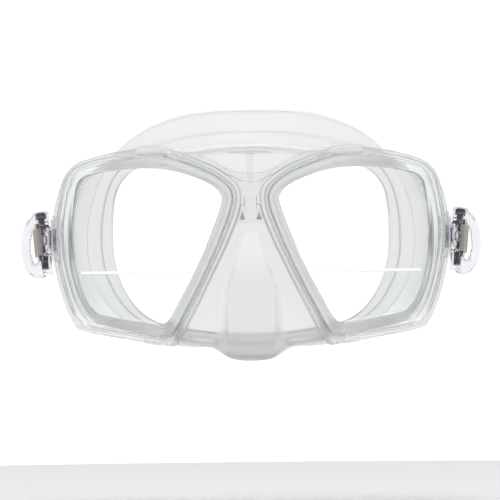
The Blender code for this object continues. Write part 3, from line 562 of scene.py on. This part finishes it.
class Look:
    """A Principled material with a few procedural nodes added one call at a time.

    A node that feeds a socket takes the place of the plain value given for it at the start.
    """

    def __init__(self, name, color, roughness, **values):
        self.material = bpy.data.materials.new(name)
        self.material.use_nodes = True
        self.tree = self.material.node_tree
        self.shader = self.tree.nodes["Principled BSDF"]
        self.shader.inputs["Base Color"].default_value = (*color, 1.0)
        self.shader.inputs["Roughness"].default_value = roughness
        for socket, value in values.items():
            self.shader.inputs[socket.replace("_", " ")].default_value = value
        texture_places = self.tree.nodes.new("ShaderNodeTexCoord")
        self.place = texture_places.outputs["Object"]
        self.facing = texture_places.outputs["Normal"]

    def noise(self, scale, detail=3.0, stretch=(1, 1, 1)):
        mapping = self.tree.nodes.new("ShaderNodeMapping")
        mapping.inputs["Scale"].default_value = stretch
        self.tree.links.new(self.place, mapping.inputs["Vector"])
        texture = self.tree.nodes.new("ShaderNodeTexNoise")
        texture.inputs["Scale"].default_value = scale
        texture.inputs["Detail"].default_value = detail
        self.tree.links.new(mapping.outputs["Vector"], texture.inputs["Vector"])
        return texture.outputs["Fac"]

    def ramp(self, source, low, high, to_low, to_high):
        node = self.tree.nodes.new("ShaderNodeMapRange")
        node.inputs["From Min"].default_value = low
        node.inputs["From Max"].default_value = high
        node.inputs["To Min"].default_value = to_low
        node.inputs["To Max"].default_value = to_high
        self.tree.links.new(source, node.inputs["Value"])
        return node.outputs["Result"]

    def mix(self, factor, one, two):
        """From one colour to the other; each is a colour or the output of a node."""
        node = self.tree.nodes.new("ShaderNodeMix")
        node.data_type = "RGBA"
        self.tree.links.new(factor, node.inputs["Factor"])
        for socket, color in (("A", one), ("B", two)):
            if isinstance(color, tuple):
                node.inputs[socket].default_value = (*color, 1.0)
            else:
                self.tree.links.new(color, node.inputs[socket])
        return node.outputs["Result"]

    def calculated(self, operation, *given):
        """The result of a Math node, from numbers and the outputs of other nodes."""
        node = self.tree.nodes.new("ShaderNodeMath")
        node.operation = operation
        for socket, value in zip(node.inputs, given):
            if isinstance(value, float):
                socket.default_value = value
            else:
                self.tree.links.new(value, socket)
        return node.outputs["Value"]

    def product(self, one, two):
        return self.calculated("MULTIPLY", one, two)

    def along(self, direction):
        """How far (m) each point lies along this direction."""
        node = self.tree.nodes.new("ShaderNodeVectorMath")
        node.operation = "DOT_PRODUCT"
        self.tree.links.new(self.place, node.inputs[0])
        node.inputs[1].default_value = direction
        return node.outputs["Value"]

    def size_along(self, vector, axis):
        """How large a vector's part along an axis is, whichever way it points."""
        parts = self.tree.nodes.new("ShaderNodeSeparateXYZ")
        self.tree.links.new(vector, parts.inputs[0])
        return self.calculated("ABSOLUTE", parts.outputs[axis])

    def turned(self, axis):
        """How squarely each face looks along this axis, from 0 to 1."""
        return self.size_along(self.facing, axis)

    def off_middle(self):
        """How far (m) each point lies from the mid-plane."""
        return self.size_along(self.place, "X")

    def lens_depth(self):
        """How far (m) each point lies in front of its side's lens plane."""
        plane = self.calculated("MULTIPLY_ADD", self.off_middle(), math.tan(WRAP), PLANE_Y * MM)
        return self.calculated("SUBTRACT", plane, self.along((0, 1, 0)))

    def sets_in(self, distance, places):
        """From 0 at the first of two places (mm) to 1 at the second."""
        return self.ramp(distance, places[0] * MM, places[1] * MM, 0.0, 1.0)

    def rings(self, direction, spacing, width, first):
        """Soft-edged rings across a direction, 1 in their middle; spacing and width in mm."""
        shifted = self.calculated("SUBTRACT", self.along(direction), first * MM)
        nearest = self.calculated("PINGPONG", shifted, spacing / 2 * MM)
        return self.ramp(nearest, 0.0, width / 2 * MM, 1.0, 0.0)

    def feed(self, socket, source):
        self.tree.links.new(source, self.shader.inputs[socket])

    def roughness(self, source, low, high):
        """Roughness from low to high, as the noise rises."""
        self.feed("Roughness", self.ramp(source, *NOISE_SPAN, low, high))

    def bump(self, source, strength, distance):
        node = self.tree.nodes.new("ShaderNodeBump")
        node.inputs["Strength"].default_value = strength
        node.inputs["Distance"].default_value = distance
        self.tree.links.new(source, node.inputs["Height"])
        self.feed("Normal", node.outputs["Normal"])


def moulded_surface_and_edge_shade(look, flow):
    """The slightly uneven surface of clear plastic, and where painted shade falls on its edges."""
    look.roughness(flow, 0.17, 0.24)
    look.bump(look.noise(140, 2.0), 0.03, 0.0004)
    return look.ramp(look.turned("Y"), *EDGE_FACING, 1.0, 0.0)


def clear_plastic():
    """Clear polycarbonate; painted shade on the rim's front stands for the deep wall behind it."""
    look = Look("clear_polycarbonate", (0.95, 0.96, 0.95), 0.18, Transmission_Weight=0.97, IOR=1.20)
    flow = look.noise(60)
    face = look.mix(flow, (0.965, 0.978, 0.968), (0.99, 0.997, 0.992))
    # Painted shade: the rim's front face darkens, growing outwards from the bridge.
    front = look.sets_in(look.lens_depth(), WALL_SHADE_DEPTH)
    outward = look.sets_in(look.off_middle(), WALL_SHADE_GROWS)
    body = look.mix(look.product(front, outward), face, WALL_FRONT_SHADE)
    # Painted shade on the edge-on faces, darkest beside the nub and in the dimples.
    edge_shade = look.mix(look.sets_in(look.off_middle(), EDGE_FADES), BRIDGE_EDGE_SHADE, EDGE_SHADE)
    beside_nub = look.sets_in(look.off_middle(), NUB_SIDE)
    edge = look.product(moulded_surface_and_edge_shade(look, flow), beside_nub)
    look.feed("Base Color", look.mix(edge, body, edge_shade))
    return look.material


def bezel_plastic():
    """The same polycarbonate, thinner, so less light is lost; painted shade at temples and edges."""
    look = Look("bezel_polycarbonate", (0.98, 0.985, 0.98), 0.18, Transmission_Weight=0.98, IOR=1.14)
    flow = look.noise(60)
    face = look.mix(flow, (0.975, 0.983, 0.976), (0.995, 0.998, 0.995))
    # Painted shade: the bezels darken towards the temples.
    body = look.mix(look.sets_in(look.off_middle(), BEZEL_TEMPLE_SHADE_X), face, BEZEL_TEMPLE_SHADE)
    # Painted shade on the bezels' edge-on faces.
    look.feed("Base Color", look.mix(moulded_surface_and_edge_shade(look, flow), body, BEZEL_EDGE_SHADE))
    return look.material


def lens_glass():
    look = Look("tempered_glass", (0.968, 0.982, 0.974), 0.0, Transmission_Weight=1.0, IOR=1.45)
    look.roughness(look.noise(30), 0.0, 0.012)
    return look.material


def silicone():
    """Painted shade: lightest over the forehead, greyer on walls and web, greyest round the nose."""
    look = Look("clear_silicone", (0.9, 0.9, 0.9), 0.35, Transmission_Weight=0.82, IOR=1.07)
    forward = look.sets_in(look.along((0, 1, 0)), NOSE_Y)
    low = look.sets_in(look.along((0, 0, 1)), FOREHEAD_Z[::-1])
    edge_on = look.ramp(look.turned("Z"), *EDGE_ON, 0.0, 1.0)
    wall = look.mix(edge_on, SILICONE_WALL_SHADE, SILICONE_EDGE_ON)
    beside = look.ramp(look.turned("X"), *EDGE_ON, 0.0, 1.0)
    nose = look.mix(beside, SILICONE_NOSE_SHADE, SILICONE_POCKET_SIDE)
    # Painted shade: walls, web and nose pocket greyer than the forehead; edge-on faces painted
    # lighter.
    below = look.mix(forward, wall, nose)
    look.feed("Base Color", look.mix(low, SILICONE_FOREHEAD, below))
    look.feed("Transmission Weight", look.ramp(low, 0.0, 1.0, *SILICONE_CLEAR))
    look.roughness(look.noise(45), 0.30, 0.40)
    look.bump(look.noise(260, 3.0), 0.03, 0.0002)
    return look.material


def rib_silicone():
    look = Look("rib_silicone", (0.965, 0.96, 0.975), 0.32, Transmission_Weight=0.95, IOR=1.08)
    look.roughness(look.noise(45), 0.30, 0.40)
    return look.material


def buckle_plastic():
    look = Look("lilac_acetal", (0.88, 0.87, 0.91), 0.12, Transmission_Weight=0.94, IOR=1.12)
    cloud = look.noise(90)
    look.feed("Base Color", look.mix(cloud, (0.80, 0.79, 0.835), (0.88, 0.87, 0.905)))
    look.roughness(cloud, 0.08, 0.18)
    look.bump(look.noise(260, 3.0), 0.06, 0.0003)
    return look.material


def dark_steel():
    look = Look("dark_steel", (0.02, 0.018, 0.018), 0.35, Metallic=0.3, Specular_IOR_Level=0.3)
    turning = look.noise(500, 2.0, (1, 1, 12))
    metal = look.mix(turning, (0.004, 0.004, 0.004), (0.016, 0.014, 0.014))
    # Painted highlights: pale rings across the axle.
    look.feed("Base Color", look.mix(look.rings(AXLE_DIRECTION, *PAINTED_RING_HIGHLIGHTS), metal, RING_HIGHLIGHT))
    look.roughness(turning, 0.3, 0.5)
    look.bump(turning, 0.1, 0.0001)
    return look.material


def roller_plastic():
    look = Look("roller_plastic", (0.02, 0.018, 0.018), 0.5, Specular_IOR_Level=0.3)
    grain = look.noise(700, 5.0)
    dark = look.mix(grain, (0.006, 0.005, 0.005), (0.024, 0.020, 0.020))
    # Painted highlights: pale rings across the roller.
    look.feed("Base Color", look.mix(look.rings(AXLE_DIRECTION, *PAINTED_RING_HIGHLIGHTS), dark, RING_HIGHLIGHT))
    look.roughness(grain, 0.42, 0.6)
    look.bump(grain, 0.2, 0.0001)
    return look.material


def pawl_plastic():
    look = Look("smoky_plastic", (0.66, 0.60, 0.57), 0.2, Transmission_Weight=0.5, IOR=1.2)
    grain = look.noise(400, 4.0)
    look.feed("Base Color", look.mix(grain, (0.60, 0.545, 0.52), (0.70, 0.645, 0.62)))
    look.roughness(grain, 0.15, 0.25)
    look.bump(grain, 0.1, 0.0002)
    return look.material


def glowing_highlight_glass():
    """White and finely ground, and glowing though it is no lamp: a painted highlight along the
    pane's edge.
    """
    # Painted highlight: the emission makes this strip glow though it is no lamp.
    look = Look("glowing_highlight_glass", (0.98, 0.985, 0.98), 0.7, Emission_Strength=0.6)
    look.shader.inputs["Emission Color"].default_value = (1.0, 1.0, 1.0, 1.0)
    grain = look.noise(900, 4.0)
    look.feed("Base Color", look.mix(grain, (0.95, 0.96, 0.955), (1.0, 1.0, 1.0)))
    look.bump(grain, 0.15, 0.0001)
    return look.material


LOOKS = {
    "frame_plastic": clear_plastic(),
    "bezel_plastic": bezel_plastic(),
    "lens_glass": lens_glass(),
    "skirt_silicone": silicone(),
    "rib_silicone": rib_silicone(),
    "buckle_plastic": buckle_plastic(),
    "pin_steel": dark_steel(),
    "roller_plastic": roller_plastic(),
    "pawl_plastic": pawl_plastic(),
    "glowing_highlight_glass": glowing_highlight_glass(),
}


def finish_piece(piece, body, slot, *stands_for):
    piece.data.materials.clear()
    piece.data.materials.append(LOOKS[slot])
    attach(piece, body)
    if stands_for:
        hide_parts(*stands_for)


# Frame, bezels and lenses


def softened(made):
    """Rounds the sharp edges a little, so that they catch the light."""
    bevel = made.modifiers.new("edges", "BEVEL")
    bevel.width = EDGE_BEVEL * MM
    bevel.segments = 2
    bevel.limit_method = "ANGLE"
    bevel.angle_limit = math.radians(BEVEL_ANGLE)
    bake(made)
    shade(made.data, FLAT_ANGLE)
    return made


def on_side(made, sign):
    """Turned into the lens plane of its side, where the left mirrors the right."""
    plane = Matrix.Translation((0, PLANE_Y * MM, 0)) @ Matrix.Rotation(WRAP, 4, "Z")
    made.data.transform(Matrix.Diagonal((sign, 1, 1, 1)) @ plane @ made.matrix_basis)
    made.matrix_basis = Matrix.Identity(4)
    if sign < 0:
        made.data.flip_normals()
    return made


def bezel(side, sign):
    return on_side(softened(rim_loft(f"bezel_rim_{side}", bezel_section)), sign)


def pane(name, outline, back, thickness, rounding, sign):
    """A flat pane whose back stands this far in front of the lens plane."""
    made = extruded(name, outline, thickness, rounding, 3, FLAT_ANGLE)
    made.location.y = -(back + thickness / 2) * MM
    return on_side(made, sign)


def lens(side, sign):
    outline = rim_loop(LENS_EDGE)
    return pane(f"lens_pane_{side}", outline, LENS_BACK, LENS_THICKNESS, LENS_ROUNDING, sign)


def reader_outline():
    """The lower part of the lens, with a straight top edge, and that edge's two ends."""
    loop = rim_loop(READER_EDGE)
    loop = np.roll(loop, -np.argmax(loop[:, 1]), axis=0)
    below = loop[loop[:, 1] < READER_TOP - READER_CORNER]
    half = len(loop) // 2
    ends = [np.interp(-READER_TOP, -part[:, 1], part[:, 0])
            for part in (loop[:half], loop[:half:-1])]  # fmt: skip
    return np.concatenate([[(ends[0], READER_TOP)], below, [(ends[1], READER_TOP)]]), ends


def reader(side, sign):
    outline, _ = reader_outline()
    name = f"reading_segment_{side}"
    return pane(name, outline, READER_BACK, READER_THICKNESS, READER_ROUNDING, sign)


def reader_highlight_strip(side, sign):
    """A glowing strip inside the reading segment's top edge: a painted highlight, a thin white line.
    """
    _, ends = reader_outline()
    near, far = sorted(ends)
    front = READER_BACK + READER_THICKNESS - HIGHLIGHT_STRIP_INSET
    low = (near + HIGHLIGHT_STRIP_ENDS, -front, READER_TOP)
    high = (far - HIGHLIGHT_STRIP_ENDS, -(READER_BACK + HIGHLIGHT_STRIP_INSET), READER_TOP + HIGHLIGHT_STRIP_HEIGHT)
    return on_side(softened(block(f"reading_highlight_strip_{side}", low, high)), sign)


def bridge_parts():
    """The bridge between the rims, its brow plate, its floor over the nose and its nub."""
    made = []
    for word, (outline, thickness, depth) in BRIDGE_PARTS.items():
        part = extruded(f"bridge_{word}", outline, thickness, *BRIDGE_ROUNDING.get(word, ()))
        part.location.y = -depth * MM
        made.append(on_side(part, 1))
    return made


def dimple():
    """The cutter of the dimple: a pyramid that narrows towards the back."""
    mouth, bottom = DIMPLE_DEPTHS
    x, z = DIMPLE_AT
    point_back = Matrix.Rotation(-math.pi / 2, 4, "X")
    corner_up = Matrix.Rotation(math.pi, 4, "Y")
    bm = bmesh.new()
    bmesh.ops.create_cone(
        bm,
        cap_ends=True,
        segments=3,
        radius1=DIMPLE_RADIUS * MM,
        radius2=DIMPLE_POINT * MM,
        depth=(mouth - bottom) * MM,
        matrix=Matrix.Diagonal(DIMPLE_STRETCH) @ corner_up @ point_back,
    )
    made = mesh_object("dimple", bm)
    made.location = (x * MM, -(mouth + bottom) / 2 * MM, z * MM)
    return on_side(made, 1)


def main_frame():
    """One half with its bridge and hinge knuckles, mirrored across the mid-plane."""
    made = on_side(softened(rim_loft("frame_rim", frame_section)), 1)
    added = bridge_parts()
    x, y, z = HINGE
    for name, sign in (("upper", 1), ("lower", -1)):
        span = sorted((z + sign * KNUCKLE_INNER, z + sign * KNUCKLE_OUTER))
        added.append(cylinder(f"{name}_knuckle", KNUCKLE_RADIUS, span, (x, y)))
        low = (x + KNUCKLE_ROOT_X[0], y + KNUCKLE_ROOT_Y[0], span[0] + KNUCKLE_INSET)
        high = (x + KNUCKLE_ROOT_X[1], y + KNUCKLE_ROOT_Y[1], span[1] - KNUCKLE_INSET)
        added.append(block(f"{name}_knuckle_root", low, high))
    combine(made, added, "UNION")
    bore = cylinder("hinge_bore", PIN_BORE, (z - BORE_REACH, z + BORE_REACH), (x, y))
    combine(made, [bore, dimple()], "DIFFERENCE")
    mirror_across(made).use_bisect_axis[0] = True
    bake(made)
    shade(made.data, FLAT_ANGLE)
    return made


# Skirt


def pocket_reach(z):
    """How far the nose pocket stands forward of the web on the mid-plane, at height z."""
    rise = np.clip((POCKET_TOP - z) / (POCKET_TOP - POCKET_TIP), 0, 1) ** POCKET_RISE_POWER
    fall = np.clip((POCKET_TIP - z) / (POCKET_TIP - POCKET_BOTTOM), 0, 1)
    drop = (POCKET_REACH - POCKET_BOTTOM_REACH) * (1 - np.sqrt(1 - fall**2))
    return POCKET_REACH * rise - drop


def web_y(x, z):
    """The front of the skirt: the web behind the frame, with the nose pocket on it."""
    width = POCKET_TOP_HALF_WIDTH + (POCKET_TOP - z) * POCKET_WIDENING
    width = np.clip(width, POCKET_LEAST_HALF_WIDTH, POCKET_HALF_WIDTH)
    pocket = pocket_reach(z) * (1 - smoothstep(POCKET_SHOULDER, 1, np.abs(x) / width))
    return PLANE_Y - WEB_DEPTH + np.abs(x) * math.tan(WRAP) - pocket


def inside(loop, point):
    """Whether the point is inside the polygon."""
    x, z = point
    ends = np.roll(loop, -1, axis=0)
    crosses = (loop[:, 1] > z) != (ends[:, 1] > z)
    with np.errstate(divide="ignore", invalid="ignore"):
        at = loop[:, 0] + (z - loop[:, 1]) * (ends[:, 0] - loop[:, 0]) / (ends[:, 1] - loop[:, 1])
    return bool((crosses & (x < at)).sum() % 2)


def add_web(bm, outline, eye):
    """Triangles over the right half of the web, between its outline and the eye opening."""
    top, foot = outline[0, 1], outline[-1, 1]
    straight = np.arange(top - WEB_GRID, foot + WEB_GRID_FOOT, -WEB_GRID)
    edge = np.concatenate([outline, [(0.0, z) for z in straight[::-1]]])
    grid = [
        (x, z)
        for x in np.arange(WEB_GRID_ACROSS, WEB_GRID_WIDTH, WEB_GRID_ACROSS)
        for z in np.arange(foot + WEB_GRID_FOOT, top, WEB_GRID)
    ]
    kept = []
    for point in grid:
        near = min(np.hypot(*(edge - point).T).min(), np.hypot(*(eye - point).T).min())
        if near > WEB_GRID * WEB_GRID_NEAREST and inside(edge, point) and not inside(eye, point):
            kept.append(point)
    points = np.concatenate([edge, eye, kept])
    rims = [(i, (i + 1) % len(edge)) for i in range(len(edge))]
    rims += [(len(edge) + i, len(edge) + (i + 1) % len(eye)) for i in range(len(eye))]
    found = delaunay_2d_cdt([tuple(point) for point in points], rims, [], 0, WEB_MERGE)
    verts = [bm.verts.new((x * MM, web_y(x, z) * MM, z * MM)) for x, z in found[0]]
    for corners in found[2]:
        middle = np.mean([found[0][i] for i in corners], axis=0)
        if inside(edge, middle) and not inside(eye, middle):
            bm.faces.new([verts[i] for i in corners])


def half_loops():
    """The web's edge, the fold and the lip from mid-plane to mid-plane, as points (x, y, z)."""
    web = mirrored_loop(WEB_LOOP, SKIRT_STEPS)
    front = np.column_stack([web[:, 0], web_y(web[:, 0], web[:, 1]), web[:, 1]])
    return front, mirrored_loop(FOLD_LOOP, SKIRT_STEPS), mirrored_loop(LIP_LOOP, SKIRT_STEPS)


def skirt():
    """Half of the outer surface, mirrored, with a wall that thins towards the face."""
    front, fold, lip = half_loops()
    spread = fold - front
    shoulder = front + spread * (SHOULDER[0], 0, SHOULDER[0]) + (0, SHOULDER[1], 0)
    waist = front + spread * (WAIST[0], WAIST[1], WAIST[0])
    turn_in = fold + (lip - fold) * (TURN_IN[0], 0, TURN_IN[0]) + (0, TURN_IN[1], 0)
    rings = smooth_path([front, shoulder, waist, fold, turn_in, lip], RING_STEPS, False)
    eye = rim_loop(COLLAR_EDGE)[::2]
    eye_web = np.array([to_world(x, WEB_DEPTH, z) for x, z in eye])
    bm = bmesh.new()
    add_web(bm, front[:, [0, 2]], eye_web[:, [0, 2]])
    add_loft(bm, rings, wrap_points=False)
    depths = np.linspace(WEB_DEPTH, COLLAR_DEPTH, COLLAR_STEPS + 1)
    collar = [[to_world(x, depth, z) for x, z in eye] for depth in depths]
    collar[0] = [(x, web_y(x, z), z) for x, z in eye_web[:, [0, 2]]]
    add_loft(bm, collar)
    bmesh.ops.remove_doubles(bm, verts=bm.verts, dist=SKIRT_MERGE)
    made = mesh_object("silicone_skirt", bm, 180)
    group = made.vertex_groups.new(name="thickness")
    for vertex in made.data.vertices:
        behind = (vertex.co.y / MM - THINS_FROM) / -THINS_FROM
        group.add([vertex.index], 1.0 - (1.0 - REAR_SHARE) * min(max(behind, 0), 1), "REPLACE")
    mirror_across(made)
    wall = made.modifiers.new("wall", "SOLIDIFY")
    wall.thickness = SKIRT_WALL * MM
    wall.offset = -1
    wall.vertex_group = group.name
    bake(made)
    return made


def seal_bead():
    """The second, inner seal: a soft bead round the face between the fold and the lip."""
    _, fold, lip = half_loops()
    half = fold + (lip - fold) * BEAD_PLACE + (0, BEAD_LIFT, 0)
    other = half[-2:0:-1] * (-1, 1, 1)
    curve = bpy.data.curves.new("seal_bead", "CURVE")
    curve.dimensions = "3D"
    curve.bevel_depth = BEAD_RADIUS * MM
    curve.bevel_resolution = 3
    add_closed_line(curve, np.concatenate([half, other]))
    return new_object("seal_bead", curve)


def web_rib():
    """The upright rib on the web over the bridge, under a ledge along the web's top."""
    bm = bmesh.new()
    for low, high in RIB_BLOCKS:
        add_block(bm, low, high)
    made = mesh_object("web_rib", bm)
    soft = made.modifiers.new("soft", "BEVEL")
    soft.width = RIB_ROUNDING * MM
    soft.segments = 3
    bake(made)
    return made


finish_piece(skirt(), "mask", "skirt_silicone", "skirt")
finish_piece(seal_bead(), "mask", "skirt_silicone")
finish_piece(web_rib(), "mask", "rib_silicone")
finish_piece(main_frame(), "mask", "frame_plastic", "main_frame")
for side, sign in SIDES:
    finish_piece(bezel(side, sign), "mask", "bezel_plastic", f"bezel_{side}")
    finish_piece(lens(side, sign), "mask", "lens_glass", f"lens_{side}")
    finish_piece(reader(side, sign), "mask", "lens_glass", f"reader_{side}")
    # The glowing strip in each reading segment is a painted highlight.
    finish_piece(reader_highlight_strip(side, sign), "mask", "glowing_highlight_glass")

SLOT_OF_NODE = {part["node"]: part["material_slot"] for part in frame["record"]["subparts"]}
for name, node in nodes.items():
    node.data.materials.clear()
    node.data.materials.append(LOOKS[SLOT_OF_NODE[name]])
    shade(node.data, CAD_ANGLE)


# Stage: a pale floor, soft light and a square view from the front


def floor():
    bm = bmesh.new()
    bmesh.ops.create_circle(bm, cap_ends=True, segments=96, radius=FLOOR_RADIUS * MM)
    made = mesh_object("floor", bm)
    made.location.z = FLOOR_Z * MM
    look = Look("pale_floor", (0.92, 0.92, 0.92), 0.6)
    look.roughness(look.noise(8), 0.55, 0.65)
    made.data.materials.append(look.material)


def overhead_light():
    """A soft square light above and in front of the mask, aimed at the origin."""
    data = bpy.data.lights.new("overhead", "AREA")
    data.shape = "RECTANGLE"
    data.size = data.size_y = LIGHT_SIZE * MM
    data.energy = LIGHT_POWER
    made = new_object("overhead", data)
    made.location = Vector(LIGHT_AT) * MM
    made.rotation_euler = (-Vector(LIGHT_AT)).to_track_quat("-Z", "Y").to_euler()


def sky():
    """White straight behind the mask and greyer to the sides, so that clear edges show."""
    world = bpy.data.worlds.new("studio")
    bpy.context.scene.world = world
    world.use_nodes = True
    tree = world.node_tree
    place = tree.nodes.new("ShaderNodeTexCoord").outputs["Generated"]
    parts = tree.nodes.new("ShaderNodeSeparateXYZ")
    tree.links.new(place, parts.inputs[0])
    shades = tree.nodes.new("ShaderNodeValToRGB")
    stops = shades.color_ramp.elements
    stops[0].position, stops[0].color = 0.0, SKY_BEHIND_CAMERA
    stops[1].position, stops[1].color = 1.0, SKY_BEHIND_MASK
    for turned, level in SKY_LEVELS:
        # The ramp runs from straight behind the camera to straight in front of it.
        stop = stops.new((1 + math.cos(math.radians(turned))) / 2)
        stop.color = (level, level, level * SKY_BLUE, 1)
    span = tree.nodes.new("ShaderNodeMapRange")
    span.inputs["From Min"].default_value = -1
    tree.links.new(parts.outputs["Y"], span.inputs["Value"])
    tree.links.new(span.outputs["Result"], shades.inputs["Fac"])
    tree.links.new(shades.outputs["Color"], tree.nodes["Background"].inputs["Color"])
    tree.nodes["Background"].inputs["Strength"].default_value = 1.0


def camera():
    data = bpy.data.cameras.new("camera")
    data.sensor_width = SENSOR
    data.lens = SENSOR * VIEW_DISTANCE / VIEW_WIDTH
    data.clip_end = VIEW_END * MM
    made = new_object("camera", data)
    x, z = VIEW_MIDDLE
    made.location = (x * MM, (PLANE_Y - VIEW_DISTANCE) * MM, z * MM)
    made.matrix_world = Matrix.Translation(made.location) @ (
        Matrix.Rotation(math.pi / 2, 4, "X") @ Matrix.Rotation(VIEW_ROLL, 4, "Z")
    )
    bpy.context.scene.camera = made


floor()
sky()
overhead_light()
camera()

scene = bpy.context.scene
scene.view_settings.view_transform = "Standard"
scene.cycles.max_bounces = CLEAR_BOUNCES
scene.cycles.transmission_bounces = CLEAR_BOUNCES
scene.cycles.transparent_max_bounces = CLEAR_BOUNCES
scene.cycles.glossy_bounces = GLOSSY_BOUNCES
